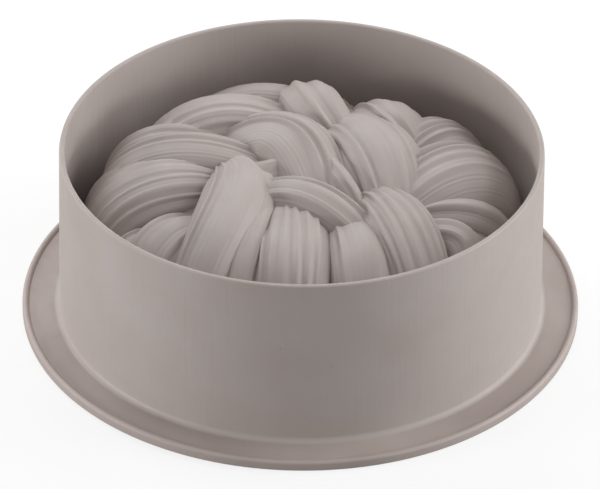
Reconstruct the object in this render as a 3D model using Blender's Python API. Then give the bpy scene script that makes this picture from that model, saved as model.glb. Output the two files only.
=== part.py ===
"""Round silicone cake mould whose cavity is a plaited bun, standing mouth down on its flange.

Metres, +Z up. The origin is the middle of the mouth, on the flat face that the mould stands on.
The moulding is divided where its regions meet: the plaited cavity shell, the flange round its
mouth, the lip round the flange's edge and the upright wall that the mould stands on in use.
"""

import math
from collections import namedtuple

import bmesh
import bpy
import numpy as np

# Support wall: its outer rim, its height above the ground and how far draft widens its foot
WALL_RIM_RADIUS = 0.0950
WALL_HEIGHT = 0.0747
WALL_THICKNESS = 0.0021
WALL_DRAFT = 0.0012
WALL_FILLET = 0.0022
WALL_INNER_FILLET = 0.0010
WALL_RIM_ROUND = 0.0006

# Flange round the mouth, and the raised lip along its edge
FLANGE_REACH = 0.0148
FLANGE_THICKNESS = 0.0030
LIP_WIDTH = 0.0026
LIP_HEIGHT = 0.0042
LIP_TOP_ROUND = 0.0011
LIP_FOOT_ROUND = 0.0005

# Cavity shell, held inside the wall and below its rim
SHELL_THICKNESS = 0.0025
WALL_CLEARANCE = 0.0018
RIM_CLEARANCE = 0.0062
MOUTH_STEP = 0.0011
FOOT_BAND_HEIGHT = 0.0045
FOOT_FLARE_HEIGHT = 0.0140
MOUND_POWER = 5.0

# Bands of the plait: full and round-shouldered across, and tapering to tips that tuck under their
# neighbours. They rise above the mound's skin, and are rooted in the core, which keeps below it.
BAND_RISE = 0.0085
BAND_DEPTH = 0.0115
BAND_POWER = 2.4
BAND_TIP_SHARE = 0.6
BAND_SWELL_POWER = 0.6
TIP_DIP = 0.0120
TIP_DIP_POWER = 0.75
CORE_DEPTH = 0.0035
BAND_ROOT = 0.0040
BAND_KEEL = 0.0008
RIDGE_PITCH = 0.0058
FURROW_DEPTH = 0.0010
LEAST_RIDGES = 3

# Gap kept between the regions
SEAM = 0.0003

# Sizes that follow from those above
CROWN_RADIUS = WALL_RIM_RADIUS - WALL_THICKNESS - WALL_CLEARANCE
CROWN_HEIGHT = WALL_HEIGHT - RIM_CLEARANCE
MOUND_RADIUS = CROWN_RADIUS - BAND_RISE
MOUND_HEIGHT = CROWN_HEIGHT - BAND_RISE
SHELL_FOOT_RADIUS = CROWN_RADIUS - MOUTH_STEP
MOUTH_RADIUS = SHELL_FOOT_RADIUS - SHELL_THICKNESS
WALL_FOOT_RADIUS = WALL_RIM_RADIUS + WALL_DRAFT
FLANGE_RADIUS = WALL_FOOT_RADIUS + FLANGE_REACH
FLOOR = FLANGE_THICKNESS + SEAM

# Fineness of the facets
ROUND_SEGMENTS = 60
FILLET_STEPS = 3
LIP_FOOT_STEPS = 2
MERIDIAN_STEPS = 400
CORE_POINTS = 16
BAND_STATIONS = 10
NORMAL_STEP = 0.0005
MERGE_DISTANCE = 0.000001
SHARP_EDGE_DEG = 35
CUT_MARGIN = 0.0100

SILICONE_COLOUR = (0.386, 0.337, 0.314, 1.0)
SILICONE_ROUGHNESS = 0.55

# A band lies on the mound from start to end, bowed to the left of that direction. Places and widths are
# shares of the way from the crown down to the mouth, and sink is how far it lies below the highest band.
Band = namedtuple("Band", "start end bow width sink")

FRONT_BANDS = (
    Band((-0.22, 0.20), (-0.35, -0.92), 0.03, 0.27, 0.0000),
    Band((-0.02, -0.12), (-0.08, -0.96), 0.00, 0.27, 0.0010),
    Band((0.15, -0.20), (0.17, -0.96), 0.01, 0.24, 0.0015),
    Band((0.20, -0.04), (0.40, -0.88), 0.04, 0.28, 0.0004),
    Band((0.50, -0.12), (0.44, -0.56), -0.02, 0.17, 0.0016),
    Band((0.56, -0.20), (0.64, -0.74), 0.02, 0.30, 0.0016),
    Band((0.72, -0.14), (0.92, -0.50), 0.03, 0.28, 0.0018),
    Band((-0.27, -0.10), (-0.60, -0.76), -0.02, 0.31, 0.0020),
    Band((-0.36, -0.12), (-0.86, -0.46), 0.02, 0.32, 0.0022),
)
CROWN_BANDS = (
    Band((-0.17, -0.08), (0.28, -0.34), 0.05, 0.20, 0.0008),
    Band((-0.28, 0.38), (0.08, -0.11), 0.07, 0.31, 0.0004),
    Band((0.05, 0.38), (0.27, -0.18), 0.05, 0.29, 0.0010),
    Band((-0.28, 0.17), (0.03, -0.06), 0.00, 0.18, 0.0022),
    Band((0.03, 0.06), (0.32, -0.22), 0.00, 0.18, 0.0024),
    Band((-0.08, 0.62), (0.19, 0.22), 0.03, 0.26, 0.0004),
    Band((0.22, 0.56), (0.40, 0.06), 0.04, 0.27, 0.0010),
)
SIDE_BANDS = (
    Band((0.29, -0.11), (0.98, 0.13), 0.11, 0.38, 0.0),
    Band((0.36, -0.15), (0.98, -0.16), 0.03, 0.28, 0.0014),
    Band((-0.74, 0.15), (-0.09, 0.05), 0.06, 0.31, 0.0010),
    Band((-0.92, -0.15), (-0.23, -0.15), 0.10, 0.33, 0.0009),
    Band((-0.68, 0.34), (-0.05, 0.32), 0.11, 0.33, 0.0010),
    Band((0.30, 0.16), (0.76, 0.44), 0.06, 0.27, 0.0012),
    Band((-0.56, 0.10), (-0.98, 0.12), 0.00, 0.28, 0.0016),
)
BACK_BANDS = (
    Band((-0.32, 0.46), (-0.64, 0.84), -0.03, 0.34, 0.0010),
    Band((-0.12, 0.44), (-0.28, 0.96), -0.03, 0.32, 0.0012),
    Band((0.08, 0.48), (0.10, 0.98), 0.03, 0.32, 0.0012),
    Band((0.32, 0.40), (0.44, 0.94), 0.03, 0.34, 0.0012),
    Band((0.45, 0.34), (0.74, 0.70), 0.03, 0.35, 0.0010),
    Band((0.56, 0.20), (0.98, 0.38), 0.02, 0.28, 0.0014),
    Band((-0.54, 0.42), (-0.94, 0.40), 0.03, 0.38, 0.0012),
)
BANDS = FRONT_BANDS + CROWN_BANDS + SIDE_BANDS + BACK_BANDS


def silicone(name):
    """Matt warm grey silicone rubber."""
    material = bpy.data.materials.new(name)
    material.use_nodes = True
    shader = material.node_tree.nodes["Principled BSDF"]
    shader.inputs["Base Color"].default_value = SILICONE_COLOUR
    shader.inputs["Roughness"].default_value = SILICONE_ROUGHNESS
    shader.inputs["Metallic"].default_value = 0.0
    return material


def object_from(bm, name):
    """Turns bmesh geometry into a smooth-shaded object with its faces pointing out."""
    bmesh.ops.recalc_face_normals(bm, faces=bm.faces)
    mesh = bpy.data.meshes.new(name)
    bm.to_mesh(mesh)
    bm.free()
    mesh.shade_smooth()
    mesh.set_sharp_from_angle(angle=math.radians(SHARP_EDGE_DEG))
    return bpy.data.objects.new(name, mesh)


def place_part(obj):
    bpy.context.scene.collection.objects.link(obj)
    obj.data.materials.append(silicone(obj.name + "_silicone"))


def place_cutter(obj, collection=None):
    (collection or bpy.context.scene.collection).objects.link(obj)
    obj.hide_render = True
    obj.display_type = "WIRE"


def arc(centre_r, centre_z, radius, start_deg, end_deg, steps=FILLET_STEPS):
    """Points of an arc in the (r, z) half plane, both ends included."""
    angles = np.radians(np.linspace(start_deg, end_deg, steps + 1))
    return [(centre_r + radius * math.cos(a), centre_z + radius * math.sin(a)) for a in angles]


def revolved(name, profile):
    """Spins (r, z) points round Z. A profile is a closed loop unless both its ends lie on the axis."""
    bm = bmesh.new()
    corners = [bm.verts.new((r, 0, z)) for r, z in profile]
    edges = [bm.edges.new(pair) for pair in zip(corners, corners[1:])]
    if profile[0][0] > 0:
        edges.append(bm.edges.new((corners[-1], corners[0])))
    bmesh.ops.spin(
        bm, geom=corners + edges, axis=(0, 0, 1), cent=(0, 0, 0),
        angle=2 * math.pi, steps=ROUND_SEGMENTS, use_merge=True,
    )
    bmesh.ops.remove_doubles(bm, verts=bm.verts, dist=MERGE_DISTANCE)
    return object_from(bm, name)


def mound_outline(inset=0.0):
    """The mound's skin from the crown down to the mouth: arc length, radius and height.

    It is a quarter of a superellipse. The mound is the bun without its bands.
    """
    quarter = np.linspace(0, math.pi / 2, MERIDIAN_STEPS)
    radius = (MOUND_RADIUS - inset) * np.sin(quarter) ** (2 / MOUND_POWER)
    rise = MOUND_HEIGHT - inset - FLANGE_THICKNESS
    height = FLANGE_THICKNESS + rise * np.cos(quarter) ** (2 / MOUND_POWER)
    length = np.concatenate([[0], np.cumsum(np.hypot(np.diff(radius), np.diff(height)))])
    return length, radius, height


SKIN_LENGTH, SKIN_RADIUS, SKIN_HEIGHT = mound_outline()
FULL_LENGTH = SKIN_LENGTH[-1]


def on_mound(x, y, lift):
    """Wraps a point of the flat plait pattern over the mound, lift above its skin."""
    out = math.hypot(x, y) * FULL_LENGTH
    turn = math.atan2(y, x)
    ends = np.clip([out - NORMAL_STEP, out + NORMAL_STEP], 0, FULL_LENGTH)
    run = np.diff(np.interp(ends, SKIN_LENGTH, SKIN_RADIUS))[0]
    fall = -np.diff(np.interp(ends, SKIN_LENGTH, SKIN_HEIGHT))[0]
    size = math.hypot(run, fall)
    normal_r, normal_z = (fall / size, run / size) if size > 0 else (1.0, 0.0)
    past_mouth = max(0.0, out - FULL_LENGTH)
    r = np.interp(out, SKIN_LENGTH, SKIN_RADIUS) + lift * normal_r
    z = np.interp(out, SKIN_LENGTH, SKIN_HEIGHT) - past_mouth + lift * normal_z
    return r * math.cos(turn), r * math.sin(turn), z


def section(ridges, furrow_depth):
    """A band's section: side as a share of its half width, and height below its crest."""
    count = 2 * ridges
    for j in range(count + 1):
        side = -math.cos(math.pi * j / count)
        drop = BAND_DEPTH * (1 - (1 - min(1.0, abs(side)) ** BAND_POWER) ** (1 / BAND_POWER))
        in_furrow = j % 2 == 0 and 0 < j < count
        yield side, drop + (furrow_depth if in_furrow else 0)


def band_solid(name, band, inset=0.0):
    """Lofts a band along its path. inset makes it smaller all round, for the hollow in the shell.

    Its keel is as wide as it is, so no pocket is left between its edge and the core. Both faces of the
    shell have the same stations, so their chords stay a wall apart on the tight shoulder.
    """
    start, end = np.array(band.start), np.array(band.end)
    chord = end - start
    across = np.array([-chord[1], chord[0]]) / np.linalg.norm(chord)
    ridges = max(LEAST_RIDGES, round(band.width * FULL_LENGTH / RIDGE_PITCH))
    profile = list(section(LEAST_RIDGES, 0) if inset else section(ridges, FURROW_DEPTH))
    root = -CORE_DEPTH - BAND_ROOT - inset
    bm = bmesh.new()
    rings = []
    for i in range(BAND_STATIONS + 1):
        share = 0.5 * (1 - math.cos(math.pi * i / BAND_STATIONS))
        swell = math.sin(math.pi * share)
        middle = start + chord * share + across * 4 * band.bow * share * (1 - share)
        half = 0.5 * band.width * (BAND_TIP_SHARE + (1 - BAND_TIP_SHARE) * swell ** BAND_SWELL_POWER)
        half -= inset / FULL_LENGTH
        crest = BAND_RISE - band.sink - TIP_DIP * (1 - swell ** TIP_DIP_POWER) - inset
        outline = [(side, max(crest - drop, root)) for side, drop in profile]
        outline += [(1, root - BAND_KEEL), (-1, root - BAND_KEEL)]
        points = [on_mound(*(middle + across * half * side), lift) for side, lift in outline]
        rings.append([bm.verts.new(point) for point in points])
    for here, ahead in zip(rings, rings[1:]):
        for j in range(len(here)):
            k = (j + 1) % len(here)
            bm.faces.new((here[j], here[k], ahead[k], ahead[j]))
    bm.faces.new(reversed(rings[0]))
    bm.faces.new(rings[-1])
    bmesh.ops.triangulate(bm, faces=bm.faces)
    return object_from(bm, name)


def plait(name, inset=0.0):
    """Every band, as one hidden collection for a Boolean."""
    collection = bpy.data.collections.new(name)
    bpy.context.scene.collection.children.link(collection)
    collection.hide_render = True
    for index, band in enumerate(BANDS):
        place_cutter(band_solid(f"{name}_{index}", band, inset), collection)
    return collection


def core(name, foot, inset=0.0):
    """The solid under the bands, from the height foot up, with a plain band and a flare at the mouth."""
    length, radius, height = mound_outline(CORE_DEPTH + inset)
    band_radius = SHELL_FOOT_RADIUS - inset
    band_top = FLOOR + FOOT_BAND_HEIGHT - inset
    flare_top = band_top + FOOT_FLARE_HEIGHT
    flare_end = np.interp(-flare_top, -height, length)
    along = np.linspace(flare_end, 0, CORE_POINTS)
    skin = [(np.interp(s, length, radius), np.interp(s, length, height)) for s in along]
    return revolved(name, [(0, foot), (band_radius, foot), (band_radius, band_top), *skin])


def boolean(obj, operation, other):
    modifier = obj.modifiers.new(other.name, "BOOLEAN")
    modifier.operation = operation
    if isinstance(other, bpy.types.Collection):
        modifier.operand_type = "COLLECTION"
        modifier.collection = other
    else:
        modifier.object = other


def make_braided_cavity():
    """The shell: core and bands, with the same form one wall thickness smaller cut out of it."""
    shell = core("braided_cavity", -CUT_MARGIN)
    hollow = core("cavity_hollow", -2 * CUT_MARGIN, SHELL_THICKNESS)
    below = revolved("below_shell", [
        (0, -3 * CUT_MARGIN), (2 * CROWN_RADIUS, -3 * CUT_MARGIN), (2 * CROWN_RADIUS, FLOOR), (0, FLOOR),
    ])
    place_cutter(hollow)
    place_cutter(below)
    boolean(hollow, "UNION", plait("hollow_bands", SHELL_THICKNESS))
    boolean(shell, "UNION", plait("outer_bands"))
    boolean(shell, "DIFFERENCE", hollow)
    boolean(shell, "DIFFERENCE", below)
    return shell


def make_mouth_flange():
    inner, outer = MOUTH_RADIUS, FLANGE_RADIUS - LIP_WIDTH - SEAM
    return revolved("mouth_flange", [
        (inner, 0), (outer, 0), (outer, FLANGE_THICKNESS), (inner, FLANGE_THICKNESS),
    ])


def make_flange_lip():
    inner, outer = FLANGE_RADIUS - LIP_WIDTH, FLANGE_RADIUS
    shoulder = LIP_HEIGHT - LIP_TOP_ROUND
    return revolved("flange_lip", [
        (inner, 0),
        *arc(outer - LIP_FOOT_ROUND, LIP_FOOT_ROUND, LIP_FOOT_ROUND, -90, 0, LIP_FOOT_STEPS),
        *arc(outer - LIP_TOP_ROUND, shoulder, LIP_TOP_ROUND, 0, 90),
        *arc(inner + LIP_TOP_ROUND, shoulder, LIP_TOP_ROUND, 90, 180),
    ])


def make_support_wall():
    foot_inner = WALL_FOOT_RADIUS - WALL_THICKNESS
    rim_inner = WALL_RIM_RADIUS - WALL_THICKNESS
    shoulder = WALL_HEIGHT - WALL_RIM_ROUND
    return revolved("support_wall", [
        *arc(WALL_FOOT_RADIUS + WALL_FILLET, FLOOR + WALL_FILLET, WALL_FILLET, 270, 180),
        *arc(WALL_RIM_RADIUS - WALL_RIM_ROUND, shoulder, WALL_RIM_ROUND, 0, 90),
        *arc(rim_inner + WALL_RIM_ROUND, shoulder, WALL_RIM_ROUND, 90, 180),
        *arc(foot_inner - WALL_INNER_FILLET, FLOOR + WALL_INNER_FILLET, WALL_INNER_FILLET, 0, -90),
    ])


def build():
    for obj in list(bpy.data.objects):
        bpy.data.objects.remove(obj)
    for make in (make_braided_cavity, make_mouth_flange, make_flange_lip, make_support_wall):
        place_part(make())


build()
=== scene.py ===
"""Looks of a round silicone cake mould: a plaited bun, standing mouth down inside its support wall.

Metres, +Z up, in the solids' frame. The viewer stands towards -Y.
"""

import math
from collections import namedtuple

import bmesh
import bpy
import numpy as np
from mathutils import Matrix, Vector


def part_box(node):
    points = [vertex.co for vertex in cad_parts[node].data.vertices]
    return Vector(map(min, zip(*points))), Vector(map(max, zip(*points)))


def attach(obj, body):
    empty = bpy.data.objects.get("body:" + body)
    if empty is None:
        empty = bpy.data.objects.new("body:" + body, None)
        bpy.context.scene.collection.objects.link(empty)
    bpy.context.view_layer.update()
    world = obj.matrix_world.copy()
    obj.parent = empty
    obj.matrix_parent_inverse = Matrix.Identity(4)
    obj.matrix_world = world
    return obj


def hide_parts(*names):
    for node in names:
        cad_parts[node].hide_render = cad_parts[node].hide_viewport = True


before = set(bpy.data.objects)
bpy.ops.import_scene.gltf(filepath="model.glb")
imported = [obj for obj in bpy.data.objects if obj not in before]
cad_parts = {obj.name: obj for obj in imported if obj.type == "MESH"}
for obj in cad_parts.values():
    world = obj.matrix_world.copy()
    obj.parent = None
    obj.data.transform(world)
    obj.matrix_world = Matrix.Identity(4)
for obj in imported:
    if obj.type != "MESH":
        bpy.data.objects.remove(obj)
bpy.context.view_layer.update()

MM = 0.001

# Corners of the solids' boxes
SHELL_LOW, SHELL_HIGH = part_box("braided_cavity")
WALL_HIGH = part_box("support_wall")[1]
FLANGE_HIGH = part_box("mouth_flange")[1]
LIP_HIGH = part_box("flange_lip")[1]

# Sizes of the mould that the boxes don't give
WALL_RIM_RADIUS = 95.0 * MM
WALL_THICKNESS = 2.1 * MM
WALL_CLEARANCE = 1.8 * MM
WALL_FILLET = 2.2 * MM
WALL_INNER_FILLET = 1.0 * MM
WALL_SINK = 0.2 * MM
RIM_ROUND = 0.75 * MM
RIM_CLEARANCE = 6.2 * MM
SHELL_THICKNESS = 2.5 * MM
FOOT_BAND_HEIGHT = 4.5 * MM
FOOT_FLARE_HEIGHT = 14.0 * MM
MOUTH_EDGE_ROUND = 0.8 * MM
LIP_WIDTH = 2.6 * MM
LIP_TOP_ROUND = 1.25 * MM
LIP_FOOT_ROUND = 0.6 * MM
MOUND_POWER = 5.0

# Sizes that follow from these
FLANGE_TOP = FLANGE_HIGH[2]
WALL_HEIGHT = WALL_HIGH[2]
SHELL_FOOT_RADIUS = SHELL_HIGH[0]
CROWN_RADIUS = WALL_RIM_RADIUS - WALL_THICKNESS - WALL_CLEARANCE
CROWN_HEIGHT = WALL_HEIGHT - RIM_CLEARANCE
MOUTH_RADIUS = SHELL_FOOT_RADIUS - SHELL_THICKNESS
WALL_FOOT_RADIUS = WALL_HIGH[0] - WALL_FILLET

# Bands of the plait. They lie on a smooth mound, and the core that joins them lies under its skin
BAND_RISE = 8.5 * MM
BAND_DEPTH = 11.5 * MM
BAND_POWER = 2.3
BAND_SWELL_POWER = 0.6
TIP_DIP_POWER = 0.75
MOUTH_SHARE = 0.85
MOUTH_TUCK = 5.0 * MM
CORE_DEPTH = 3.5 * MM
BAND_ROOT = 4.0 * MM
BAND_KEEL = 0.8 * MM
MOUND_RADIUS = CROWN_RADIUS - BAND_RISE
MOUND_HEIGHT = CROWN_HEIGHT - BAND_RISE

# Strands of a band, and the fine lines on them
FURROW_DEPTH = 1.35 * MM
SHALLOWEST_FURROW, DEEPEST_FURROW = 0.25, 1.15
STRAND_WIDTH = 4.6 * MM
LEAST_STRANDS = 3
NARROWEST_STRAND, WIDEST_STRAND = 0.6, 1.4
EDGE_STRAND_SHARE = 1.5
LEAST_HALF_WIDTH = 0.8 * MM
STRAND_WANDER = 0.014
WANDER_TURN = 5.0
LINE_DEPTH = 0.13 * MM
LINE_PITCH = 1.9 * MM
LINE_GROUP_PITCH = 6.3 * MM
LINE_GROUP_TURN = 2.0

# Fineness
BAND_STATIONS = 34
INNER_BAND_STATIONS = 20
POINT_SPACING = 0.45 * MM
INNER_POINT_SPACING = 1.6 * MM
LEAST_POINTS_PER_STRAND = 4
LATHE_SEGMENTS = 240
ARC_STEPS = 8
FILLET_STEPS = 12
LIP_STEPS = 10
MERIDIAN_STEPS = 2000
CORE_POINTS = 60
NORMAL_STEP = 0.5 * MM
NO_LENGTH = 1e-9
MERGE_DISTANCE = 0.001 * MM
SHARP_EDGE_DEG = 40
CUT_MARGIN = 10.0 * MM

# A band lies on the mound from start, over via, to end. Places and widths are shares of the way
# from the crown down to the mouth. sink is how far, in mm, its crest lies below the highest band.
# strands are its strands' widths, from the right of its direction to the left, drawn by chance
# where none are given. tuck is how far, in mm, its start and its end dive under their neighbours,
# and tips how wide they are there, as shares of its width.
Band = namedtuple(
    "Band", "start via end width sink strands tuck tips", defaults=(None, (12, 12), (0.6, 0.6))
)

FRONT_BANDS = (
    Band((-0.235, 0.11), (-0.215, -0.22), (-0.46, -0.85), 0.25, 0.0,
         (2.2, 0.9, 0.6, 3.4, 2.4), (8, 12)),
    Band((-0.10, -0.05), (-0.15, -0.34), (-0.25, -0.88), 0.11, 2.2, (1.0, 1.0)),
    Band((-0.03, -0.11), (-0.03, -0.48), (-0.06, -0.96), 0.25, 0.8,
         (2.0, 0.6, 1.3, 0.9, 0.6, 1.1, 0.8, 2.2), (9, 12)),
    Band((0.13, -0.14), (0.19, -0.50), (0.20, -0.96), 0.205, 1.5, (1.7, 0.8, 3.2, 0.9)),
    Band((0.20, -0.02), (0.33, -0.32), (0.46, -0.88), 0.235, 0.4,
         (1.6, 0.8, 0.8, 0.6, 0.8, 0.9, 0.6, 1.2)),
    Band((0.33, -0.25), (0.52, -0.30), (0.50, -0.60), 0.15, 2.0, (1.0, 0.8, 0.8, 1.0), (9, 12)),
    Band((0.33, -0.16), (0.62, -0.13), (0.98, -0.10), 0.15, 1.4,
         (1.2, 0.8, 1.2), (10, 12), (0.35, 0.6)),
    Band((0.40, -0.21), (0.66, -0.28), (0.96, -0.28), 0.18, 3.2),
    Band((0.56, -0.24), (0.66, -0.48), (0.68, -0.80), 0.28, 2.8),
    Band((-0.27, -0.17), (-0.47, -0.37), (-0.64, -0.76), 0.27, 2.8,
         (1.2, 0.7, 0.9, 0.6, 1.4), (14, 12), (0.5, 0.7)),
    Band((-0.42, -0.23), (-0.62, -0.34), (-0.86, -0.52), 0.21, 3.0),
)
CROWN_BANDS = (
    Band((-0.19, -0.06), (0.03, -0.13), (0.26, -0.34), 0.19, 0.9, (1.3, 0.8, 0.9, 0.7, 1.3)),
    Band((-0.30, 0.23), (-0.04, 0.20), (0.08, -0.18), 0.28, 0.4,
         (4.0, 0.7, 0.7, 0.5, 0.7, 0.6, 1.0)),
    Band((0.06, 0.40), (0.23, 0.16), (0.30, -0.17), 0.30, 0.8,
         (1.4, 0.8, 0.6, 0.9, 0.6, 0.8, 0.6, 1.2)),
    Band((-0.26, -0.04), (-0.11, 0.05), (0.05, 0.13), 0.14, 5.2,
         (1.0, 0.8, 1.0), (3, 3), (1.0, 1.0)),
    Band((0.06, 0.17), (0.12, 0.00), (0.20, -0.18), 0.085, 3.4,
         (1.0, 0.8, 0.9), (6, 6), (0.8, 0.8)),
    Band((0.00, 0.70), (0.03, 0.45), (0.17, 0.20), 0.21, 0.2, (1.6, 0.7, 1.0, 0.6, 0.8)),
    Band((0.20, 0.56), (0.29, 0.38), (0.42, 0.16), 0.22, 2.6),
)
SIDE_BANDS = (
    Band((0.29, -0.11), (0.60, 0.114), (0.98, 0.13), 0.38, 0.0,
         (4.2, 0.8, 0.7, 0.8, 0.6, 0.7, 0.6, 1.2)),
    Band((0.30, 0.18), (0.50, 0.35), (0.76, 0.42), 0.24, 1.6),
    Band((-0.82, 0.05), (-0.42, 0.135), (-0.07, 0.10), 0.22, 0.8,
         (2.6, 0.6, 0.8, 0.6, 1.3), (12, 12), (0.8, 0.6)),
    Band((-0.78, 0.15), (-0.50, 0.235), (-0.20, 0.24), 0.19, 1.4, None, (12, 12), (0.8, 0.6)),
    Band((-0.94, -0.26), (-0.54, -0.055), (-0.21, 0.03), 0.31, 0.6,
         (1.3, 0.6, 0.8, 0.6, 0.9, 0.6, 0.9, 1.6), (12, 12), (0.9, 0.3)),
    Band((-0.92, -0.04), (-0.66, 0.05), (-0.38, 0.06), 0.19, 2.2, None, (14, 12)),
    Band((-0.62, 0.20), (-0.30, 0.37), (0.00, 0.38), 0.26, 0.8, None, (16, 12)),
    Band((-0.50, 0.46), (-0.18, 0.56), (0.14, 0.50), 0.25, 2.0, (2.0, 1.0)),
)
BACK_BANDS = (
    Band((-0.34, 0.50), (-0.50, 0.68), (-0.66, 0.82), 0.34, 1.4),
    Band((-0.12, 0.52), (-0.21, 0.73), (-0.28, 0.96), 0.32, 1.4),
    Band((0.08, 0.56), (0.07, 0.76), (0.10, 0.98), 0.32, 1.2),
    Band((0.32, 0.44), (0.36, 0.68), (0.44, 0.94), 0.34, 1.2),
    Band((0.45, 0.38), (0.59, 0.54), (0.74, 0.70), 0.35, 1.0),
    Band((0.56, 0.24), (0.77, 0.33), (0.98, 0.38), 0.28, 1.4),
    Band((-0.54, 0.40), (-0.74, 0.43), (-0.94, 0.40), 0.38, 1.2),
)
BANDS = FRONT_BANDS + CROWN_BANDS + SIDE_BANDS + BACK_BANDS


# Shapes


def object_from(mesh, name):
    """A smooth-shaded object of the mesh, creased only where its faces turn sharply."""
    mesh.shade_smooth()
    mesh.set_sharp_from_angle(angle=math.radians(SHARP_EDGE_DEG))
    return bpy.data.objects.new(name, mesh)


def arc(centre_r, centre_z, radius, start_deg, end_deg, steps=ARC_STEPS):
    """Points of an arc in the (r, z) half plane, both ends included."""
    angles = np.radians(np.linspace(start_deg, end_deg, steps + 1))
    return [(centre_r + radius * math.cos(a), centre_z + radius * math.sin(a)) for a in angles]


def revolved(name, profile):
    """Spins (r, z) points round Z. A profile that starts off the axis is a closed loop."""
    bm = bmesh.new()
    corners = [bm.verts.new((r, 0, z)) for r, z in profile]
    edges = [bm.edges.new(pair) for pair in zip(corners, corners[1:])]
    if profile[0][0] > 0:
        edges.append(bm.edges.new((corners[-1], corners[0])))
    bmesh.ops.spin(
        bm, geom=corners + edges, axis=(0, 0, 1), cent=(0, 0, 0),
        angle=2 * math.pi, steps=LATHE_SEGMENTS, use_merge=True,
    )
    bmesh.ops.remove_doubles(bm, verts=bm.verts, dist=MERGE_DISTANCE)
    bmesh.ops.recalc_face_normals(bm, faces=bm.faces)
    mesh = bpy.data.meshes.new(name)
    bm.to_mesh(mesh)
    bm.free()
    return object_from(mesh, name)


def mound_outline(inset=0.0):
    """The mound's skin from the crown to the mouth: arc length, radius and height."""
    quarter = np.linspace(0, math.pi / 2, MERIDIAN_STEPS)
    radius = (MOUND_RADIUS - inset) * np.sin(quarter) ** (2 / MOUND_POWER)
    rise = MOUND_HEIGHT - inset - FLANGE_TOP
    height = FLANGE_TOP + rise * np.cos(quarter) ** (2 / MOUND_POWER)
    length = np.concatenate([[0], np.cumsum(np.hypot(np.diff(radius), np.diff(height)))])
    return length, radius, height


SKIN_LENGTH, SKIN_RADIUS, SKIN_HEIGHT = mound_outline()
FULL_LENGTH = SKIN_LENGTH[-1]


def on_mound(x, y, lift):
    """Wraps points of the flat plait pattern over the mound, lift above its skin."""
    out = np.hypot(x, y) * FULL_LENGTH
    turn = np.arctan2(y, x)
    inner = np.clip(out - NORMAL_STEP, 0, FULL_LENGTH)
    outer = np.clip(out + NORMAL_STEP, 0, FULL_LENGTH)
    run = np.interp(outer, SKIN_LENGTH, SKIN_RADIUS) - np.interp(inner, SKIN_LENGTH, SKIN_RADIUS)
    fall = np.interp(inner, SKIN_LENGTH, SKIN_HEIGHT) - np.interp(outer, SKIN_LENGTH, SKIN_HEIGHT)
    size = np.hypot(run, fall)
    # past the mouth the skin goes on straight down
    past = size < NO_LENGTH
    size = np.where(past, 1, size)
    normal_r, normal_z = np.where(past, 1, fall / size), np.where(past, 0, run / size)
    below = np.maximum(0, out - FULL_LENGTH)
    r = np.interp(out, SKIN_LENGTH, SKIN_RADIUS) + lift * normal_r
    z = np.interp(out, SKIN_LENGTH, SKIN_HEIGHT) - below + lift * normal_z
    return np.stack([r * np.cos(turn), r * np.sin(turn), z], axis=-1)


def along_band(band, share):
    """A band's middle and the unit direction across it, at a share of its way.

    The middle follows the parabola through start, via and end.
    """
    start, via, end = np.array(band.start), np.array(band.via), np.array(band.end)
    middle = (
        start * (1 - share) * (1 - 2 * share)
        + via * 4 * share * (1 - share)
        + end * share * (2 * share - 1)
    )
    heading = start * (4 * share - 3) + via * (4 - 8 * share) + end * (4 * share - 1)
    heading = heading / np.linalg.norm(heading)
    return middle, np.array([-heading[1], heading[0]])


def strand_edges(band, chance):
    """Where the strands of a band begin and end, from 0 to 1 round its half-round section."""
    if band.strands:
        widths = np.array(band.strands, float)
    else:
        strands = max(LEAST_STRANDS, round(band.width * FULL_LENGTH / STRAND_WIDTH))
        widths = chance.uniform(NARROWEST_STRAND, WIDEST_STRAND, strands)
        widths[[0, -1]] *= EDGE_STRAND_SHARE
    return np.concatenate([[0], np.cumsum(widths / widths.sum())])


def strand_points(edges, depths, round_length, spacing):
    """Points spread evenly round a section: their strand, their place in it, and its furrows there.

    A place runs from 0 to 1. A furrow is deepest on the edge between two strands.
    """
    counts = np.rint(np.diff(edges) * round_length / spacing)
    counts = np.maximum(counts, LEAST_POINTS_PER_STRAND).astype(int)
    strand = np.repeat(np.arange(len(counts)), counts)
    in_strand = np.concatenate([np.arange(count) / count for count in counts])
    away = 2 * in_strand - 1
    nearer = np.where(away < 0, depths[strand], depths[strand + 1])
    furrow = nearer * (0.5 - 0.5 * np.cos(math.pi * away))
    return strand, in_strand, np.append(furrow, 0.0)


def fine_lines(angle, share, round_length, phases):
    """How deep the fine lines lie at each angle round the section, in groups that fade out."""
    way = angle / math.pi * round_length
    fine = np.sin(2 * math.pi * way / LINE_PITCH + phases[0])
    group = np.sin(2 * math.pi * way / LINE_GROUP_PITCH + phases[-1] + LINE_GROUP_TURN * share)
    return LINE_DEPTH * (1 - fine * (0.5 + 0.5 * group)) * np.sin(angle)


def band_section(half, crest, root, angle, furrow):
    """Points across a band and their height: half-round, carved by furrow, flat at its root."""
    cosine, sine = np.cos(angle), np.maximum(np.sin(angle), 0)
    x = -half * np.sign(cosine) * np.abs(cosine) ** (2 / BAND_POWER)
    y = sine ** (2 / BAND_POWER)
    slope_x = np.sign(x) * np.abs(x / half) ** (BAND_POWER - 1) / half
    slope_y = y ** (BAND_POWER - 1) / BAND_DEPTH
    size = np.hypot(slope_x, slope_y)
    x = x - furrow * slope_x / size
    lift = np.maximum(crest - BAND_DEPTH * (1 - y) - furrow * slope_y / size, root)
    return np.append(x, [half, -half]), np.append(lift, [root - BAND_KEEL] * 2)


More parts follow.
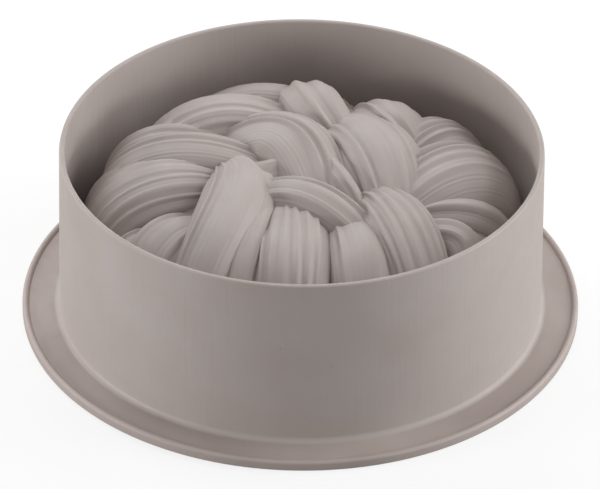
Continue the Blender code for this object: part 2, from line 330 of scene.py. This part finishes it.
def band_solid(name, band, seed, inset=0.0):
    """Lofts a band along its path. inset makes it smaller all round, for the shell's inside."""
    chance = np.random.default_rng(seed)
    edges = strand_edges(band, chance)
    phases = chance.uniform(0, 2 * math.pi, len(edges))
    between = chance.uniform(SHALLOWEST_FURROW, DEEPEST_FURROW, len(edges) - 2)
    depths = FURROW_DEPTH * np.concatenate([[0], between, [0]])
    round_length = band.width * FULL_LENGTH + BAND_DEPTH
    spacing = INNER_POINT_SPACING if inset else POINT_SPACING
    stations = INNER_BAND_STATIONS if inset else BAND_STATIONS
    strand, in_strand, furrows = strand_points(edges, depths, round_length, spacing)
    root = -CORE_DEPTH - BAND_ROOT - inset
    # an end at the mouth has no neighbour to dive under
    tucks = [
        MOUTH_TUCK if math.hypot(*point) > MOUTH_SHARE else depth * MM
        for point, depth in zip((band.start, band.end), band.tuck)
    ]
    rings = []
    for share in 0.5 - 0.5 * np.cos(np.linspace(0, math.pi, stations + 1)):
        swell = math.sin(math.pi * share)
        nearer_end = 0 if share < 0.5 else 1
        tip, tuck = band.tips[nearer_end], tucks[nearer_end]
        half = 0.5 * band.width * FULL_LENGTH
        half *= tip + (1 - tip) * swell ** BAND_SWELL_POWER
        half = max(half - inset, LEAST_HALF_WIDTH)
        crest = BAND_RISE - band.sink * MM - tuck * (1 - swell ** TIP_DIP_POWER) - inset
        # strand edges wander a little along the way, but keep their order
        wander = STRAND_WANDER * np.sin(phases + WANDER_TURN * share)
        here = edges + np.where((edges > 0) & (edges < 1), wander, 0)
        angle = np.append(here[strand] + np.diff(here)[strand] * in_strand, 1.0) * math.pi
        furrow = furrows if inset else furrows + fine_lines(angle, share, round_length, phases)
        x, lift = band_section(half, crest, root, angle, furrow)
        middle, across = along_band(band, share)
        place = middle + across * (x / FULL_LENGTH)[:, None]
        rings.append(on_mound(place[:, 0], place[:, 1], lift))
    return lofted(name, np.array(rings))


def lofted(name, rings):
    """A closed body through rings of points, with a fan at either end."""
    stations, count = rings.shape[:2]
    ends = np.array([rings[0].mean(axis=0), rings[-1].mean(axis=0)])
    corners = np.concatenate([rings.reshape(-1, 3), ends])
    here = np.arange(stations - 1)[:, None] * count + np.arange(count)
    onward = np.roll(here, -1, axis=1)
    sides = np.concatenate([
        np.stack([here, onward + count, onward], axis=-1).reshape(-1, 3),
        np.stack([here, here + count, onward + count], axis=-1).reshape(-1, 3),
    ])
    edge = np.arange(count)
    pairs = list(zip(edge, np.roll(edge, -1)))
    first, last, base = len(corners) - 2, len(corners) - 1, (stations - 1) * count
    fans = [(first, a, b) for a, b in pairs] + [(last, base + b, base + a) for a, b in pairs]
    mesh = bpy.data.meshes.new(name)
    mesh.from_pydata(corners.tolist(), [], sides.tolist() + fans)
    return bpy.data.objects.new(name, mesh)


def core(name, foot, inset=0.0):
    """The solid under the bands, from foot up, with a plain band and a flare at the mouth."""
    length, radius, height = mound_outline(CORE_DEPTH + inset)
    band_radius = SHELL_FOOT_RADIUS - inset
    band_top = SHELL_LOW[2] + FOOT_BAND_HEIGHT - inset
    flare_end = np.interp(-(band_top + FOOT_FLARE_HEIGHT), -height, length)
    along = np.linspace(flare_end, 0, CORE_POINTS)
    skin = [(np.interp(s, length, radius), np.interp(s, length, height)) for s in along]
    return revolved(name, [(0, foot), (band_radius, foot), (band_radius, band_top), *skin])


def combined(obj, operation, others):
    """obj after one Boolean with all the others, which are then removed."""
    scene = bpy.context.scene.collection
    operands = bpy.data.collections.new("operands")
    scene.children.link(operands)
    scene.objects.link(obj)
    for other in others:
        operands.objects.link(other)
    modifier = obj.modifiers.new("join", "BOOLEAN")
    modifier.operation = operation
    modifier.operand_type = "COLLECTION"
    modifier.collection = operands
    modifier.solver = "MANIFOLD"
    evaluated = obj.evaluated_get(bpy.context.evaluated_depsgraph_get())
    mesh = bpy.data.meshes.new_from_object(evaluated)
    name = obj.name
    for used in [obj, *others]:
        bpy.data.objects.remove(used)
    bpy.data.collections.remove(operands)
    return object_from(mesh, name)


def plaited_face(name, inset=0.0):
    """The plaited bun, cut off level at the flange, without its flat underside."""
    bands = [band_solid("band", band, seed, inset) for seed, band in enumerate(BANDS)]
    solid = combined(core(name, -CUT_MARGIN, inset), "UNION", bands)
    below, wide = -2 * CUT_MARGIN, 2 * CROWN_RADIUS
    trim = revolved("trim", [(0, below), (wide, below), (wide, FLANGE_TOP), (0, FLANGE_TOP)])
    solid = combined(solid, "DIFFERENCE", [trim])
    bm = bmesh.new()
    bm.from_mesh(solid.data)
    bpy.data.objects.remove(solid)
    level = FLANGE_TOP + MERGE_DISTANCE
    underside = [face for face in bm.faces if all(corner.co.z < level for corner in face.verts)]
    bmesh.ops.delete(bm, geom=underside, context="FACES")
    return bm


def plaited_shell():
    """The plait outside and, one wall thickness smaller, inside, with both joined at the foot."""
    bm = plaited_face("outside")
    inside = plaited_face("inside", SHELL_THICKNESS)
    bmesh.ops.reverse_faces(inside, faces=inside.faces)
    mesh = bpy.data.meshes.new("plaited_shell")
    inside.to_mesh(mesh)
    inside.free()
    bm.from_mesh(mesh)
    bmesh.ops.bridge_loops(bm, edges=[edge for edge in bm.edges if edge.is_boundary])
    bm.to_mesh(mesh)
    bm.free()
    return object_from(mesh, "plaited_shell")


def support_wall():
    """The upright wall, with a rounded rim and a fillet that runs out on the flange."""
    fillet_radius = WALL_FOOT_RADIUS + WALL_FILLET
    inner_fillet_radius = WALL_FOOT_RADIUS - WALL_THICKNESS - WALL_INNER_FILLET
    rim_inner = WALL_RIM_RADIUS - WALL_THICKNESS
    shoulder = WALL_HEIGHT - RIM_ROUND
    return revolved("support_wall_skin", [
        (fillet_radius, FLANGE_TOP - WALL_SINK),
        *arc(fillet_radius, FLANGE_TOP + WALL_FILLET, WALL_FILLET, 270, 180, FILLET_STEPS),
        *arc(WALL_RIM_RADIUS - RIM_ROUND, shoulder, RIM_ROUND, 0, 90),
        *arc(rim_inner + RIM_ROUND, shoulder, RIM_ROUND, 90, 180),
        *arc(inner_fillet_radius, FLANGE_TOP + WALL_INNER_FILLET, WALL_INNER_FILLET, 0, -90),
        (inner_fillet_radius, FLANGE_TOP - WALL_SINK),
    ])


def mouth_flange():
    """The flat ring round the mouth, whose mouth edge is eased."""
    outer = LIP_HIGH[0] - LIP_WIDTH
    return revolved("mouth_flange_skin", [
        *arc(MOUTH_RADIUS + MOUTH_EDGE_ROUND, MOUTH_EDGE_ROUND, MOUTH_EDGE_ROUND, 180, 270),
        (outer, 0), (outer, FLANGE_TOP), (MOUTH_RADIUS, FLANGE_TOP),
    ])


def flange_lip():
    """The round-topped bead along the flange's edge."""
    outer, inner = LIP_HIGH[0], LIP_HIGH[0] - LIP_WIDTH
    shoulder = LIP_HIGH[2] - LIP_TOP_ROUND
    return revolved("flange_lip_skin", [
        (inner, 0),
        *arc(outer - LIP_FOOT_ROUND, LIP_FOOT_ROUND, LIP_FOOT_ROUND, -90, 0),
        *arc(outer - LIP_TOP_ROUND, shoulder, LIP_TOP_ROUND, 0, 90, LIP_STEPS),
        *arc(inner + LIP_TOP_ROUND, shoulder, LIP_TOP_ROUND, 90, 180, LIP_STEPS),
    ])


# Materials

WHITE = (1.0, 1.0, 1.0, 1.0)
# Most of a noise lies between these
NOISE_LOW, NOISE_HIGH = 0.3, 0.7
# Sockets of a Mix node for colours
MIX_FACTOR, MIX_FIRST, MIX_SECOND, MIX_RESULT = 0, 6, 7, 2

# Silicone
SILICONE_IOR = 1.41
LEAST_ROUGHNESS, MOST_ROUGHNESS = 0.5, 0.63
CLOUD_SIZE = 35.0 * MM
PATCH_SIZE = 7.0 * MM
SPECK_SPACING = 9.0 * MM
SPECK_RADIUS = 0.5 * MM
SPECK_CORE = 0.6
SPECK_SHARE = 0.3
DUST_COLOUR = "#7D736F"
# An eroded mould's grain is about 0.05 mm across, too fine to show, so it is drawn at 0.7 mm
GRAIN_SIZE = 0.7 * MM
GRAIN_HEIGHT = 0.012 * MM
STREAK_WIDTH = 1.8 * MM
STREAK_LENGTH = 45.0 * MM
FAINT_STREAK = 0.004 * MM
GROUND_STREAK = 0.08 * MM


def linear(hex_colour):
    """An sRGB hex colour as linear RGBA."""
    parts = [int(hex_colour[i:i + 2], 16) / 255 for i in (1, 3, 5)]
    return (*[c / 12.92 if c <= 0.04045 else ((c + 0.055) / 1.055) ** 2.4 for c in parts], 1.0)


def add(tree, kind, settings=None, links=None):
    """Adds a shader node, sets its properties and sockets, and links its inputs."""
    new = tree.nodes.new(kind)
    for key, value in (settings or {}).items():
        if isinstance(key, str) and key in new.bl_rna.properties:
            setattr(new, key, value)
        else:
            new.inputs[key].default_value = value
    for key, source in (links or {}).items():
        tree.links.new(source, new.inputs[key])
    return new


def material(name):
    """A new material and its empty node tree."""
    made = bpy.data.materials.new(name)
    made.use_nodes = True
    made.node_tree.nodes.clear()
    return made, made.node_tree


def matt_silicone(name, pale, deep, streak_height):
    """Food-grade silicone rubber, pressed in a fine-eroded steel mould and left as it comes out.

    It gives the eye a soft, matt warm grey without reflections: slow changes of tone, patches that
    are a little duller where it has been handled, a few specks of the dust that it always holds,
    and a fine grain. Where the steel was ground upright, streak_height is how far its faint streaks
    stand up.
    """
    made, tree = material(name)
    place = add(tree, "ShaderNodeTexCoord").outputs["Object"]

    clouds = add(tree, "ShaderNodeTexNoise", {"Scale": 1 / CLOUD_SIZE, "Detail": 3.0}, {
        "Vector": place,
    })
    tone = add(tree, "ShaderNodeValToRGB", {}, {"Fac": clouds.outputs["Fac"]})
    stops = zip(tone.color_ramp.elements, (NOISE_LOW, NOISE_HIGH), (deep, pale))
    for element, position, colour in stops:
        element.position, element.color = position, linear(colour)
    cells = add(tree, "ShaderNodeTexVoronoi", {"Scale": 1 / SPECK_SPACING}, {"Vector": place})
    speck = add(tree, "ShaderNodeMapRange", {
        "From Min": SPECK_CORE * SPECK_RADIUS / SPECK_SPACING,
        "From Max": SPECK_RADIUS / SPECK_SPACING,
        "To Min": SPECK_SHARE, "To Max": 0.0,
    }, {"Value": cells.outputs["Distance"]})
    dusty = add(tree, "ShaderNodeMix", {"data_type": "RGBA", MIX_SECOND: linear(DUST_COLOUR)}, {
        MIX_FACTOR: speck.outputs["Result"], MIX_FIRST: tone.outputs["Color"],
    })

    handled = add(tree, "ShaderNodeTexNoise", {"Scale": 1 / PATCH_SIZE, "Detail": 2.0}, {
        "Vector": place,
    })
    rough = add(tree, "ShaderNodeMapRange", {
        "From Min": NOISE_LOW, "From Max": NOISE_HIGH,
        "To Min": LEAST_ROUGHNESS, "To Max": MOST_ROUGHNESS,
    }, {"Value": handled.outputs["Fac"]})

    grain = add(tree, "ShaderNodeTexNoise", {"Scale": 1 / GRAIN_SIZE, "Detail": 2.0}, {
        "Vector": place,
    })
    fine = add(tree, "ShaderNodeBump", {"Distance": GRAIN_HEIGHT}, {"Height": grain.outputs["Fac"]})
    upright = add(tree, "ShaderNodeMapping", {
        "Scale": (1.0, 1.0, STREAK_WIDTH / STREAK_LENGTH),
    }, {"Vector": place})
    ground = add(tree, "ShaderNodeTexNoise", {"Scale": 1 / STREAK_WIDTH, "Detail": 2.0}, {
        "Vector": upright.outputs["Vector"],
    })
    streaks = add(tree, "ShaderNodeBump", {"Distance": streak_height}, {
        "Height": ground.outputs["Fac"], "Normal": fine.outputs["Normal"],
    })
    shader = add(tree, "ShaderNodeBsdfPrincipled", {"IOR": SILICONE_IOR}, {
        "Base Color": dusty.outputs[MIX_RESULT],
        "Roughness": rough.outputs["Result"],
        "Normal": streaks.outputs["Normal"],
    })
    add(tree, "ShaderNodeOutputMaterial", {}, {"Surface": shader.outputs["BSDF"]})
    return made


# Pieces

PLAIT_SILICONE = matt_silicone("matt_silicone_plait", "#AAA09C", "#A29793", FAINT_STREAK)
WALL_SILICONE = matt_silicone("matt_silicone_wall", "#A99F9B", "#A49893", GROUND_STREAK)
RING_SILICONE = matt_silicone("matt_silicone_ring", "#AB9E99", "#A49691", FAINT_STREAK)
for piece, node_name, silicone in (
    (plaited_shell(), "braided_cavity", PLAIT_SILICONE),
    (support_wall(), "support_wall", WALL_SILICONE),
    (mouth_flange(), "mouth_flange", RING_SILICONE),
    (flange_lip(), "flange_lip", RING_SILICONE),
):
    bpy.context.scene.collection.objects.link(piece)
    piece.data.materials.clear()
    piece.data.materials.append(silicone)
    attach(piece, "root")
    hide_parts(node_name)

# Studio

FLOOR_INNER = 110.6 * MM
FLOOR_OUTER = 6.0
FLOOR_DROP = 0.1 * MM
FLOOR_SEGMENTS = 96
FLOOR_BOUNCE_COLOUR = "#A0A0A0"
FLOOR_SEEN_COLOUR = "#F8F8F8"
FLOOR_GLOW = 0.75
AMBIENT = 0.28
SOFTBOX_COLOUR = (0.975, 1.0, 1.005)
# Name, azimuth and elevation in degrees, distance and size in metres, power in watts. Azimuth 0
# is the viewer's side, 90 the viewer's right
SOFTBOXES = (
    ("left_softbox", -75, 8, 1.4, 0.5, 16.0),
    ("right_softbox", 75, 8, 1.4, 0.5, 10.5),
    ("high_right_softbox", 100, 28, 1.2, 0.7, 8.5),
    ("back_left_softbox", -140, 38, 1.2, 0.5, 5.5),
    ("back_softbox", 180, 35, 1.2, 0.5, 3.0),
    ("front_softbox", 0, 55, 1.2, 0.7, 1.6),
)


def white_floor():
    """Studio paper: white to the camera, but pale grey in the light that it throws on the mould."""
    made, tree = material("white_floor")
    path = add(tree, "ShaderNodeLightPath")
    paper = add(tree, "ShaderNodeBsdfDiffuse", {"Color": linear(FLOOR_BOUNCE_COLOUR)})
    lit = add(tree, "ShaderNodeBsdfDiffuse", {"Color": linear(FLOOR_SEEN_COLOUR)})
    glow = add(tree, "ShaderNodeEmission", {"Color": WHITE, "Strength": 1.0})
    seen = add(tree, "ShaderNodeMixShader", {0: FLOOR_GLOW}, {
        1: lit.outputs[0], 2: glow.outputs[0],
    })
    front = add(tree, "ShaderNodeMixShader", {}, {
        0: path.outputs["Is Camera Ray"], 1: paper.outputs[0], 2: seen.outputs[0],
    })
    behind = add(tree, "ShaderNodeNewGeometry").outputs["Backfacing"]
    clear = add(tree, "ShaderNodeBsdfTransparent")
    sided = add(tree, "ShaderNodeMixShader", {}, {
        0: behind, 1: front.outputs[0], 2: clear.outputs[0],
    })
    add(tree, "ShaderNodeOutputMaterial", {}, {"Surface": sided.outputs[0]})
    return made


def floor():
    """Flat floor round the mould. It is open below, so light and a low camera reach the cavity."""
    mesh = bpy.data.meshes.new("floor")
    count = FLOOR_SEGMENTS
    turns = np.linspace(0, 2 * math.pi, count, endpoint=False)
    corners = [
        (r * math.cos(a), r * math.sin(a), -FLOOR_DROP)
        for r in (FLOOR_INNER, FLOOR_OUTER) for a in turns
    ]
    faces = [(i, count + i, count + (i + 1) % count, (i + 1) % count) for i in range(count)]
    mesh.from_pydata(corners, [], faces)
    mesh.materials.append(white_floor())
    obj = bpy.data.objects.new("floor", mesh)
    bpy.context.scene.collection.objects.link(obj)
    return obj


def studio_world():
    """White behind the mould, and a soft grey light on it from all round."""
    world = bpy.data.worlds.new("studio")
    world.use_nodes = True
    tree = world.node_tree
    tree.nodes.clear()
    path = add(tree, "ShaderNodeLightPath")
    shown = path.outputs["Is Camera Ray"]
    for ray in ("Is Glossy Ray", "Is Transmission Ray"):
        either = add(tree, "ShaderNodeMath", {"operation": "MAXIMUM"}, {
            0: shown, 1: path.outputs[ray],
        })
        shown = either.outputs[0]
    soft = add(tree, "ShaderNodeBackground", {"Color": WHITE, "Strength": AMBIENT})
    white = add(tree, "ShaderNodeBackground", {"Color": WHITE, "Strength": 1.0})
    both = add(tree, "ShaderNodeMixShader", {}, {
        0: shown, 1: soft.outputs[0], 2: white.outputs[0],
    })
    add(tree, "ShaderNodeOutputWorld", {}, {"Surface": both.outputs[0]})
    return world


def softbox(name, azimuth_deg, elevation_deg, distance, size, power):
    """A square lamp aimed at the mould."""
    lamp = bpy.data.lights.new(name, "AREA")
    lamp.color = SOFTBOX_COLOUR
    lamp.shape = "SQUARE"
    lamp.size = size
    lamp.energy = power
    obj = bpy.data.objects.new(name, lamp)
    a, e = math.radians(azimuth_deg), math.radians(elevation_deg)
    toward = Vector((math.sin(a) * math.cos(e), -math.cos(a) * math.cos(e), math.sin(e)))
    where = toward * distance
    turn = where.to_track_quat("Z", "Y").to_matrix().to_4x4()
    obj.matrix_world = Matrix.Translation(where) @ turn
    bpy.context.scene.collection.objects.link(obj)


floor()
bpy.context.scene.world = studio_world()
for row in SOFTBOXES:
    softbox(*row)

# Camera at the photograph's viewing angle. Angles are in radians
IMAGE_WIDTH_PX = 600
SENSOR_WIDTH_MM = 36.0
FOCAL_PX = 4677.84
CENTRE_SHIFT_PX = 0.94
VIEW_ELEVATION = 0.6047
VIEW_ROLL = 0.0109
VIEW_DISTANCE = 19.5438 * WALL_RIM_RADIUS
LOOK_HEIGHT = 0.2977 * WALL_RIM_RADIUS


def photo_camera():
    """A camera that looks down on the mould's axis, rolled a little."""
    forward = Vector((0, math.cos(VIEW_ELEVATION), -math.sin(VIEW_ELEVATION)))
    level = Vector((1, 0, 0))
    upward = level.cross(forward)
    right = math.cos(VIEW_ROLL) * level + math.sin(VIEW_ROLL) * upward
    top = math.cos(VIEW_ROLL) * upward - math.sin(VIEW_ROLL) * level
    place = Vector((0, 0, LOOK_HEIGHT)) - forward * VIEW_DISTANCE
    camera = bpy.data.objects.new("camera", bpy.data.cameras.new("camera"))
    camera.data.sensor_width = SENSOR_WIDTH_MM
    camera.data.lens = FOCAL_PX * SENSOR_WIDTH_MM / IMAGE_WIDTH_PX
    camera.data.shift_x = -CENTRE_SHIFT_PX / IMAGE_WIDTH_PX
    turn = Matrix((right, top, -forward)).transposed().to_4x4()
    camera.matrix_world = Matrix.Translation(place) @ turn
    bpy.context.scene.collection.objects.link(camera)
    return camera


bpy.context.scene.camera = photo_camera()
bpy.context.scene.view_settings.view_transform = "Standard"
